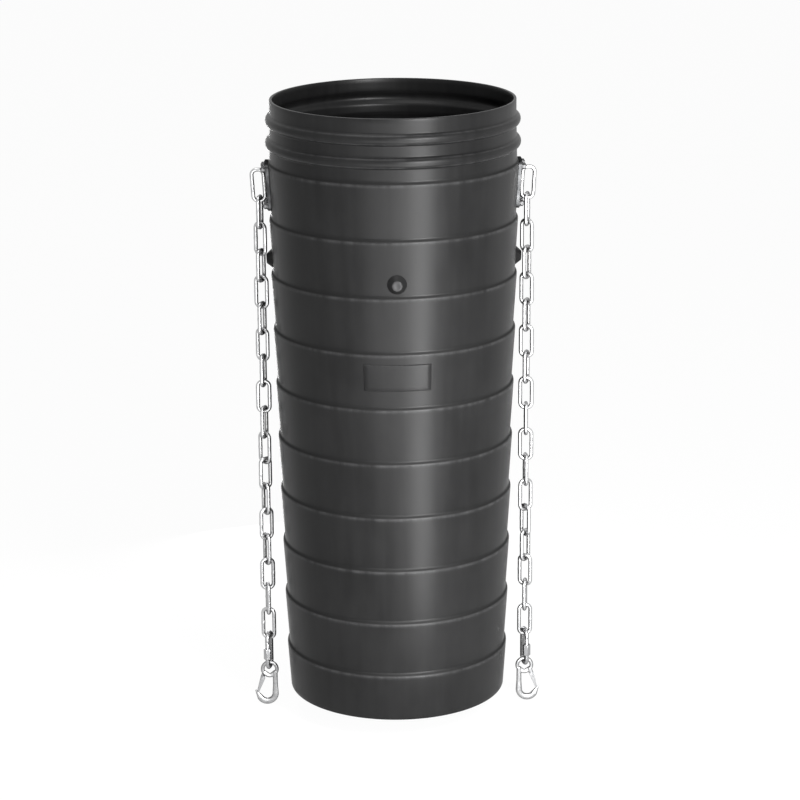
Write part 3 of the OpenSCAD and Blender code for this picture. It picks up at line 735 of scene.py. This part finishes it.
def quick_link(side, material, nut_material):
    """An open loop of wire with threads at its gap, and the hexagon sleeve that bridges it.

    The thread is a ripple of the wire's radius that climbs one pitch for each turn round the wire.
    """
    crown, x_axis, y_axis, z_axis = hanging_axes(f"{side}_snap_hook")
    nut = middle_of(f"{side}_sleeve_nut")
    if (nut - crown) @ x_axis < 0:
        x_axis, y_axis = -x_axis, -y_axis
    half_l, half_w = (QUICK_L + QUICK_D) / 2, (QUICK_W + QUICK_D) / 2
    top, low = QUICK_GAP_AT + QUICK_GAP / 2, QUICK_GAP_AT - QUICK_GAP / 2
    line = np.r_[[[half_w, top]], loop_line(half_w, half_l), [[half_w, low]]]
    length = line_length(line)[-1]
    thread_end = UPPER_THREAD_L + 2 * THREAD_PITCH
    row, lower_start = THREAD_PITCH / 6, length - LOWER_THREAD_L
    upper_rows = np.arange(QUICK_END_EASE, thread_end, row)
    plain_rows = np.linspace(thread_end, lower_start, 90)[:-1]
    lower_rows = np.arange(lower_start, length - QUICK_END_EASE, row)
    end_rows = length - np.array([QUICK_END_EASE, QUICK_END_FACE, 0])
    at = np.r_[0, QUICK_END_FACE, upper_rows, plain_rows, lower_rows, end_rows]
    path = on_line(line, at)
    phi = circle(QUICK_SIDES)[None, :]
    into_end = np.minimum(at, length - at)[:, None]
    closed_end = np.interp(into_end, [0, QUICK_END_FACE, QUICK_END_EASE], [0, 0.8, 1])
    upper = np.clip((UPPER_THREAD_L - at) / THREAD_PITCH, 0, 1)[:, None]
    lower = np.clip((at - length + LOWER_THREAD_L) / THREAD_PITCH, 0, 1)[:, None]
    ripple = 0.5 + 0.5 * np.cos(2 * np.pi * at[:, None] / THREAD_PITCH + phi)
    r = (QUICK_D / 2 - THREAD_DEEP * ripple * np.maximum(upper, lower)) * closed_end
    points = bar(path, r, r, sides=QUICK_SIDES)
    marks = {"rub_and_shade": loop_rub_and_shade(points, QUICK_L / 2)}
    centre = crown + half_l * z_axis
    points = placed(points, centre, x_axis, y_axis, z_axis)
    name = f"{side}_quick_link"
    piece(name + "_wire", grid(points, False, True), material, name, [name], marks=marks)
    points = hexagon(SLEEVE_AF, SLEEVE_L, SLEEVE_BORE_R)
    nut_end = centre + half_w * x_axis + (SLEEVE_AT - SLEEVE_L / 2) * z_axis
    points = placed(points, nut_end, x_axis, y_axis, z_axis)
    name = f"{side}_sleeve_nut"
    surface = grid(points, True, True)
    piece(name + "_hexagon", surface, nut_material, name, [name], sharp=30)


def hook_axes(side):
    """A hook's own axes, as rows: X away from the chute, and Z up."""
    return np.diag([SIDES[side], SIDES[side], 1.0])


def eye_web(eye_r, hand):
    """Metal that fills one lower corner of a hook's eye, so that its hole runs to a point below.

    It is a short bar along a chord of the ring, swelling to its middle.
    """
    place = np.linspace(0, 1, 24)
    path = eye_r * np.stack([hand * WEB_OUT * (1 - place), -WEB_TOP - WEB_FALL * place], axis=-1)
    half = EYE_WEB * np.sqrt(np.clip(1 - (2 * place - 1) ** 6, 0, 1))
    return grid(bar(path, half, half, WEB_POWER), False, True)


def forged_hook(side, material):
    """A hook as bars grown together: its eye, its back and bend that end in a tip, and the pin's boss.

    The bars are flattened sections along flat paths. A fine grid of cells joins them into one skin, which is
    then smoothed. Its rub mark is painted shade that grows from the flat faces to the flanks between them,
    with the angle between the skin and the hook's plane.
    """
    crown, _ = joint_of(f"{side}_snap_hook")
    x_axis, y_axis, z_axis = hook_axes(side)
    eye_r = (EYE_HOLE_D + EYE_WIRE_D) / 2
    eye = crown + ((QUICK_D + EYE_WIRE_D) / 2 + HANG_GAP - eye_r) * z_axis
    turn = circle(96)
    ring_path = eye_r * np.stack([np.cos(turn), np.sin(turn)], axis=-1)
    ring_half = np.full(len(turn), EYE_WIRE_D / 2)
    ring = grid(bar(ring_path, ring_half, ring_half, RING_POWER, 24, True), True, True)
    bend = np.radians(np.linspace(180, 180 + BEND_ANGLE, 40))
    centre = np.array([BEND_R - HOOK_BACK, -BEND_DOWN])
    arc = centre + BEND_R * np.stack([np.cos(bend), np.sin(bend)], axis=-1)
    lean = math.radians(180 - BEND_ANGLE)
    tip = arc[-1] + (TIP_L + TIP_D / 2) * np.array([math.sin(lean), math.cos(lean)])
    line = np.r_[[[-HOOK_BACK, -EYE_WIRE_D / 2]], arc, [tip]]
    length = line_length(line)[-1]
    at = np.r_[0, TOP_CAP, np.linspace(TOP_EASE, length - TOP_EASE, 110), length - TIP_CAP, length]
    path = on_line(line, at)
    back_end, bend_start = BEND_DOWN - EYE_WIRE_D / 2, BEND_DOWN - BACK_TAPER_L - EYE_WIRE_D / 2
    tip_start = length - TIP_L - TIP_D / 2
    places = [0, TOP_CAP, TOP_EASE, bend_start, back_end, tip_start, length - TIP_CAP, length]
    half = np.interp(at, places, MM * np.array(HOOK_HALF))
    flat = np.interp(at, places, MM * np.array(HOOK_FLAT))
    back = grid(bar(path, half, flat, BACK_POWER, 28), False, True)
    boss_path = even_steps(MM * np.array(BOSS_LINE), BOSS_POINTS)
    boss_half = np.interp(np.arange(BOSS_POINTS), BOSS_AT, MM * np.array(BOSS_HALF))
    boss = bar(boss_path, boss_half, np.minimum(boss_half, BOSS_T / 2), BOSS_POWER, 28)
    boss[..., 1] += BOSS_SIDE + BOSS_T / 2
    webs = [eye_web(eye_r, hand) for hand in (-1, 1)]
    skin = joined([ring, back, grid(boss, False, True)] + webs)
    points = placed(skin[0], eye, x_axis, y_axis, z_axis)
    name = f"{side}_snap_hook"
    thing = piece(name + "_forging", (points, skin[1]), material, name, [name])
    cells = thing.modifiers.new("cells", "REMESH")
    cells.mode = "VOXEL"
    cells.voxel_size = FORGE_CELL
    cells.use_smooth_shade = True
    soften = thing.modifiers.new("soften", "SMOOTH")
    soften.factor = 0.5
    soften.iterations = 6
    bake_modifiers(thing)
    mesh = thing.data
    facing = np.empty((len(mesh.vertices), 3), np.float32)
    mesh.vertices.foreach_get("normal", facing.ravel())
    # Painted shade on the hook's flanks, between its flat faces
    flank_shade = np.clip((FLAT_FACE - np.abs(facing @ y_axis)) / FLAT_FACE, 0, 1)
    mesh.attributes.new("rub_and_shade", "FLOAT", "POINT").data.foreach_set("value", flank_shade.astype(np.float32))


def bake_modifiers(thing):
    """Puts what the modifiers make into the piece's own mesh."""
    made = bpy.data.meshes.new_from_object(thing.evaluated_get(bpy.context.evaluated_depsgraph_get()))
    old = thing.data
    thing.modifiers.clear()
    thing.data = made
    bpy.data.meshes.remove(old)
    made.name = thing.name


def latch_spring(side, material):
    """A coil of wire round the latch pin: a tube along a helix of even pitch with a leg off each end."""
    pin, _ = joint_of(f"{side}_hook_latch")
    start = LATCH_LEAN - LEG_SLANT
    turn = np.linspace(0, SPRING_TURNS, 110)[:, None]
    angle = np.radians(start) + 2 * np.pi * turn
    climb = SPRING_Y + SPRING_PITCH * turn
    coil = np.concatenate([SPRING_R * np.cos(angle), climb, SPRING_R * np.sin(angle)], axis=1)
    run = np.concatenate([-np.sin(angle), 0 * angle, np.cos(angle)], axis=1)
    leg = np.linspace(0, 1, 14)[1:, None]
    path = np.concatenate([coil[0] - LEG_DOWN * leg[::-1] * run[0], coil, coil[-1] + LEG_UP * leg * run[-1]])
    along = np.gradient(path, axis=0)
    along /= np.linalg.norm(along, axis=1, keepdims=True)
    across = np.cross(along, [0, 1.0, 0])
    across /= np.linalg.norm(across, axis=1, keepdims=True)
    third = np.cross(along, across)
    phi = circle(12)[None, :, None]
    r = np.full(len(path), SPRING_D / 2)
    r[[0, -1]] = 0
    points = path[:, None] + r[:, None, None] * (np.cos(phi) * across[:, None] + np.sin(phi) * third[:, None])
    points = placed(points, pin, *hook_axes(side))
    name = f"{side}_latch_spring"
    body = f"{side}_hook_latch"
    piece(name + "_coil", grid(points, False, True), material, body, [name], sharp=60)


class Finish:
    """A node tree under construction: adds nodes and joins them by socket names."""

    def __init__(self, tree):
        self.tree = tree

    def add(self, kind, settings=None, **inputs):
        """A node of a kind with its settings; an input is a value or a (node, output) pair."""
        node = self.tree.nodes.new(kind)
        for key, value in (settings or {}).items():
            setattr(node, key, value)
        for key, value in inputs.items():
            self.put(node, key.replace("_", " "), value)
        return node

    def put(self, node, socket, value):
        """Sets an input, by its name or number, to a value or to another node's output."""
        target = node.inputs[int(socket)] if socket.isdigit() else node.inputs[socket]
        if isinstance(value, tuple) and isinstance(value[0], bpy.types.Node):
            self.tree.links.new(value[0].outputs[value[1]], target)
        else:
            target.default_value = value

    def math(self, operation, a, b, clamp=False):
        """a (operation) b of two values."""
        node = self.tree.nodes.new("ShaderNodeMath")
        node.operation, node.use_clamp = operation, clamp
        self.put(node, "0", a)
        self.put(node, "1", b)
        return node, "Value"

    def mix(self, share, a, b):
        """The colour a, giving way to the colour b by a share."""
        node = self.tree.nodes.new("ShaderNodeMix")
        node.data_type = "RGBA"
        self.put(node, "0", share)
        self.put(node, "6", a)
        self.put(node, "7", b)
        return node, 2

    def spread(self, value, low, high, to_low=0.0, to_high=1.0):
        """A value stretched from low..high to to_low..to_high, and held at its ends."""
        node = self.add("ShaderNodeMapRange")
        self.put(node, "Value", value)
        for socket, limit in (("From Min", low), ("From Max", high), ("To Min", to_low), ("To Max", to_high)):
            self.put(node, socket, limit)
        return node, "Result"

    def noise(self, place, scale, detail=3.0, rough=0.55):
        """Even noise of a scale at a place."""
        node = self.add("ShaderNodeTexNoise", None, Detail=detail, Roughness=rough)
        self.put(node, "Scale", scale)
        self.put(node, "Vector", place)
        return node, "Fac"

    def stretched(self, place, scale):
        """A place with its axes scaled apart."""
        node = self.add("ShaderNodeMapping", None, Scale=scale)
        self.put(node, "Vector", place)
        return node, "Vector"


def effect(name, inputs, outputs):
    """An empty node group with named value inputs and outputs, and its ends."""
    tree = bpy.data.node_groups.new(name, "ShaderNodeTree")
    for socket, value in inputs.items():
        tree.interface.new_socket(socket, in_out="INPUT", socket_type="NodeSocketFloat").default_value = value
    for socket in outputs:
        tree.interface.new_socket(socket, in_out="OUTPUT", socket_type="NodeSocketFloat")
    make = Finish(tree)
    return make, make.add("NodeGroupInput"), make.add("NodeGroupOutput")


def moulding_effect():
    """Moulded plastic: "Cloud" is wide unevenness, "Flow" upright streaks of use, and "Grain" a fine skin."""
    scales = {"Cloud Scale": 9.0, "Flow Scale": 60.0, "Grain Scale": 900.0}
    make, given, out = effect("moulding", scales, ["Cloud", "Flow", "Grain"])
    place = make.add("ShaderNodeTexCoord"), "Object"
    make.put(out, "Cloud", make.noise(place, (given, "Cloud Scale"), detail=4.0))
    upright = make.stretched(place, STREAK_STRETCH)
    make.put(out, "Flow", make.noise(upright, (given, "Flow Scale"), detail=5.0, rough=0.65))
    make.put(out, "Grain", make.noise(place, (given, "Grain Scale"), detail=2.0))
    return make.tree


def zinc_effect():
    """Zinc plating: "Bloom" is tarnish in patches, "Spangle" small crystals, and "Pits" fine unevenness."""
    scales = {"Bloom Scale": 90.0, "Spangle Scale": 700.0, "Pit Scale": 1800.0}
    make, given, out = effect("zinc", scales, ["Bloom", "Spangle", "Pits"])
    place = make.add("ShaderNodeTexCoord"), "Object"
    make.put(out, "Bloom", make.noise(place, (given, "Bloom Scale"), detail=4.0, rough=0.6))
    cells = make.add("ShaderNodeTexVoronoi")
    make.put(cells, "Vector", place)
    make.put(cells, "Scale", (given, "Spangle Scale"))
    tone = make.add("ShaderNodeSeparateColor")
    make.put(tone, "Color", (cells, "Color"))
    make.put(out, "Spangle", (tone, "Red"))
    make.put(out, "Pits", make.noise(place, (given, "Pit Scale")))
    return make.tree


def wear_and_shading_effect():
    """Marks of moulded plastic: scuffs with painted highlight on proud edges, painted shade in hollows, and
    painted shade on the steps' slopes.
    """
    make, given, out = effect("wear_and_shading", {"Flow": 0.5, "Shade Amount": 0.55}, ["Scuff", "Dirt", "Slope"])
    wear_light_and_shade = make.add("ShaderNodeAttribute", {"attribute_name": "wear_light_and_shade"}), "Fac"
    slope = make.add("ShaderNodeAttribute", {"attribute_name": "slope"}), "Fac"
    patches = make.spread((given, "Flow"), low=0.3, high=0.65)
    # Proud edges take scuffs with painted highlight, hollows take painted shade
    edge = make.spread(wear_light_and_shade, low=0.1, high=0.6)
    hollow_shade = make.spread(wear_light_and_shade, low=-0.15, high=-0.7)
    make.put(out, "Scuff", make.math("MULTIPLY", edge, patches))
    make.put(out, "Dirt", make.math("MULTIPLY", hollow_shade, (given, "Shade Amount")))
    make.put(out, "Slope", slope)
    return make.tree


def rub_and_shade_effect():
    """Marks of plated loops: rub wear with painted shade where neighbours hang, painted shade on a wire's
    inner side and on a hook's flanks, and a ring round the weld.
    """
    make, given, out = effect("rub_and_shade", {"Rub And Shade Amount": 0.9, "Weld Amount": 0.35}, ["Rub", "Weld"])
    rub_and_shade = make.add("ShaderNodeAttribute", {"attribute_name": "rub_and_shade"}), "Fac"
    weld = make.add("ShaderNodeAttribute", {"attribute_name": "weld"}), "Fac"
    make.put(out, "Rub", make.math("MULTIPLY", rub_and_shade, (given, "Rub And Shade Amount")))
    make.put(out, "Weld", make.math("MULTIPLY", weld, (given, "Weld Amount")))
    return make.tree


def finish_of(name, metallic=0.0, specular=0.5):
    """A new material: its tree, its surface node and the values that are the same all over it."""
    material = bpy.data.materials.new(name)
    material.use_nodes = True
    make = Finish(material.node_tree)
    surface = material.node_tree.nodes["Principled BSDF"]
    make.put(surface, "Metallic", metallic)
    make.put(surface, "Specular IOR Level", specular)
    return material, make, surface


def bumped(make, surface, height, strength, distance):
    """Gives a surface the small relief of a height."""
    bump = make.add("ShaderNodeBump", None, Strength=strength, Distance=distance)
    make.put(bump, "Height", height)
    make.put(surface, "Normal", (bump, "Normal"))


def plastic(name, moulding, wear_shading, deep, pale, worn_and_lit, rough, specular):
    """Dark moulded plastic.

    Its colour runs from deep to pale with the cloud and the streaks. Edges that stand proud are scuffed
    paler, with painted highlight, hollows are darker with painted shade, and the steps' slopes are darker
    with painted shade, and duller.
    """
    material, make, surface = finish_of(name, specular=specular)
    skin = make.add("ShaderNodeGroup", {"node_tree": moulding})
    streak = make.math("MULTIPLY", make.spread((skin, "Flow"), low=0.35, high=0.75), STREAK_SHARE)
    cloud = make.math("MULTIPLY", make.spread((skin, "Cloud"), low=0.3, high=0.7), CLOUD_SHARE)
    share = make.math("ADD", streak, cloud)
    colour = make.mix(share, (*deep, 1), (*pale, 1))
    rough_value = make.spread(share, low=0.0, high=1.0, to_low=rough - 0.05, to_high=rough + 0.07)
    wear_and_shading = make.add("ShaderNodeGroup", {"node_tree": wear_shading})
    make.put(wear_and_shading, "Flow", (skin, "Flow"))
    # Scuffs with painted highlight on proud edges
    colour = make.mix((wear_and_shading, "Scuff"), colour, (*worn_and_lit, 1))
    # Painted shade where the mark falls below zero: above each step, beside the beads' lines and round the
    # foot of the plate; the studs' flanks are darkened a little too
    colour = make.mix((wear_and_shading, "Dirt"), colour, HOLLOW_SHADE_TONE)
    # Painted shade: the steps' slopes are darkened
    colour = make.mix((wear_and_shading, "Slope"), colour, SLOPE_SHADE_TONE)
    slope = make.math("MULTIPLY", (wear_and_shading, "Slope"), SLOPE_DULL)
    rough_value = make.math("ADD", rough_value, slope, clamp=True)
    make.put(surface, "Base Color", colour)
    make.put(surface, "Roughness", rough_value)
    relief = make.math("ADD", make.math("MULTIPLY", (skin, "Grain"), GRAIN_SHARE), (skin, "Cloud"))
    bumped(make, surface, relief, strength=0.25, distance=0.0006)
    return material


def zinc(
    name, plating, rub_shading, bright, dull, rough, spangle=0.25, patch=90, crystal=700, rub_and_painted_light=False
):
    """Zinc-plated steel.

    Tarnish lies in soft patches over crystals of slightly different tone. Where neighbours rub, the metal is
    bare and darker, with painted shade there, the wire's inner side and a hook's flanks are darker with
    painted shade, and a weld keeps a dull ring.
    spangle is how much the crystals differ, and patch and crystal are how many of them a metre holds.
    """
    material, make, surface = finish_of(name, metallic=1.0)
    make.put(surface, "Specular Tint", EDGE_TONE)
    skin = make.add("ShaderNodeGroup", {"node_tree": plating})
    make.put(skin, "Bloom Scale", patch)
    make.put(skin, "Spangle Scale", crystal)
    bloom = make.math("MULTIPLY", make.spread((skin, "Bloom"), low=0.35, high=0.7), BLOOM_SHARE)
    tone = make.math("MULTIPLY", (skin, "Spangle"), spangle)
    share = make.math("ADD", bloom, tone, clamp=True)
    colour = make.mix(share, (*bright, 1), (*dull, 1))
    rough_value = make.spread(share, low=0.0, high=1.0, to_low=rough, to_high=rough + 0.16)
    if rub_and_painted_light:
        use = make.add("ShaderNodeGroup", {"node_tree": rub_shading})
        # Rub wear with painted shade, and painted shade on the wire's inner side and a hook's flanks
        colour = make.mix((use, "Rub"), colour, BARE_AND_SHADE_TONE)
        colour = make.mix((use, "Weld"), colour, WELD_TONE)
        ring = make.math("MULTIPLY", (use, "Weld"), WELD_DULL)
        rough_value = make.math("ADD", rough_value, ring, clamp=True)
    make.put(surface, "Base Color", colour)
    make.put(surface, "Roughness", rough_value)
    bumped(make, surface, (skin, "Pits"), strength=0.12, distance=0.0003)
    return material


def dress(material, node):
    """Gives a solid that keeps its shape a finish."""
    for slot in frame["nodes"][node].material_slots:
        slot.material = material


def seen_directly(make):
    """1 for rays from the camera, and for those mirrored or let through on their way to it."""
    path = make.add("ShaderNodeLightPath")
    mirrored = make.math("ADD", (path, "Is Glossy Ray"), (path, "Is Transmission Ray"), clamp=True)
    return make.math("ADD", (path, "Is Camera Ray"), mirrored, clamp=True)


def stage_floor():
    """A wide pale disc just under the chute: rings of growing radius about its axis."""
    r = np.r_[0, np.geomspace(0.4, FLOOR_R, 24)]
    low = float(cad_box[0][2]) - FLOOR_DROP
    points, quads = grid(turned(r, np.full_like(r, low), 64), True)
    mesh = bpy.data.meshes.new("floor")
    mesh.from_pydata(points, [], quads[:, ::-1])
    material = bpy.data.materials.new("pale_floor")
    material.use_nodes = True
    make = Finish(material.node_tree)
    material.node_tree.nodes.remove(material.node_tree.nodes["Principled BSDF"])
    matt = make.add("ShaderNodeBsdfDiffuse", None, Color=(FLOOR_TONE, FLOOR_TONE, FLOOR_TONE, 1))
    white = make.add("ShaderNodeEmission", None, Color=(1, 1, 1, 1), Strength=1.0)
    both = make.add("ShaderNodeMixShader")
    make.put(both, "0", make.math("MULTIPLY", seen_directly(make), FLOOR_WHITE))
    make.put(both, "1", (matt, "BSDF"))
    make.put(both, "2", (white, "Emission"))
    make.put(material.node_tree.nodes["Material Output"], "Surface", (both, "Shader"))
    mesh.materials.append(material)
    floor = bpy.data.objects.new("floor", mesh)
    bpy.context.collection.objects.link(floor)


def stage_world():
    """A white room for the camera and for mirrored rays, and a dimmer one as light."""
    world = bpy.data.worlds.new("room")
    world.use_nodes = True
    bpy.context.scene.world = world
    make = Finish(world.node_tree)
    room = world.node_tree.nodes["Background"]
    make.put(room, "Color", (1, 1, 1, 1))
    make.put(room, "Strength", make.spread(seen_directly(make), low=0.0, high=1.0, to_low=ROOM_LIGHT))


def soft_lamp(name, place, aim, width, height, watts):
    """An oblong soft lamp at a place, turned to its aim."""
    lamp = bpy.data.lights.new(name, "AREA")
    lamp.shape, lamp.size, lamp.size_y, lamp.energy = "RECTANGLE", width, height, watts
    thing = bpy.data.objects.new(name, lamp)
    bpy.context.collection.objects.link(thing)
    away = np.array(place) - np.array(aim)
    away /= np.linalg.norm(away)
    side = np.cross([0, 0, 1.0], away)
    side /= np.linalg.norm(side)
    thing.matrix_world = axes_matrix(side, np.cross(away, side), away, place)
    thing.visible_camera = False


def axes_matrix(x_axis, y_axis, z_axis, place):
    """The matrix of an object whose axes and place are given."""
    rows = np.column_stack([x_axis, y_axis, z_axis, place])
    return Matrix(np.vstack([rows, [0, 0, 0, 1]]).tolist())


def stage_camera():
    """The camera of the photograph: a place and a view turned about the chute's axis by a small angle."""
    pitch, yaw, roll, around = np.radians([CAMERA_PITCH, CAMERA_YAW, CAMERA_ROLL, CAMERA_AZIMUTH])
    ahead = np.array([np.sin(yaw) * np.cos(pitch), np.cos(yaw) * np.cos(pitch), -np.sin(pitch)])
    level = np.array([np.cos(yaw), -np.sin(yaw), 0])
    upward = np.cross(level, ahead)
    right = np.cos(roll) * level + np.sin(roll) * upward
    up = -np.sin(roll) * level + np.cos(roll) * upward
    spin = np.array([[np.cos(around), -np.sin(around), 0], [np.sin(around), np.cos(around), 0], [0, 0, 1]])
    lens = bpy.data.cameras.new("camera")
    lens.sensor_width = SENSOR_MM
    lens.lens = CAMERA_FOCUS_PX * SENSOR_MM / IMAGE_PX
    lens.clip_end = 4 * FLOOR_R
    camera = bpy.data.objects.new("camera", lens)
    bpy.context.collection.objects.link(camera)
    place = spin @ np.array([0, -CAMERA_AWAY, CAMERA_UP])
    camera.matrix_world = axes_matrix(spin @ right, spin @ up, spin @ -ahead, place)
    bpy.context.scene.camera = camera


def chute():
    """All pieces with their finishes."""
    moulding, wear_shading = moulding_effect(), wear_and_shading_effect()
    plating, rub_shading = zinc_effect(), rub_and_shade_effect()
    plastics = {name: plastic(name, moulding, wear_shading, **look) for name, look in PLASTICS.items()}
    metals = {name: zinc(name, plating, rub_shading, **look) for name, look in METALS.items()}
    moulded_shell(plastics["shell_plastic"])
    for name, turn in STUD_TURNS.items():
        stop_stud(name, turn, plastics["stud_plastic"])
    fasteners(metals["dark_fastener_steel"])
    for side in SIDES:
        for number in range(1, LINKS + 1):
            chain_link(side, number, metals["chain_zinc"])
        weld_seams(side, metals["weld_steel"])
        quick_link(side, metals["quick_link_zinc"], metals["sleeve_nut_zinc"])
        forged_hook(side, metals["hook_zinc"])
        latch_spring(side, metals["spring_wire"])
        dress(metals["plate_steel"], f"{side}_anchor_plate")
        dress(metals["latch_zinc"], f"{side}_hook_latch")
        dress(metals["fastener_zinc"], f"{side}_latch_pin")


def studio():
    """The pale floor, the room, the lamps and the camera."""
    stage_floor()
    stage_world()
    for name, lamp in LAMPS.items():
        soft_lamp(name, *lamp)
    stage_camera()
    bpy.context.scene.view_settings.view_transform = "Standard"


chute()
studio()
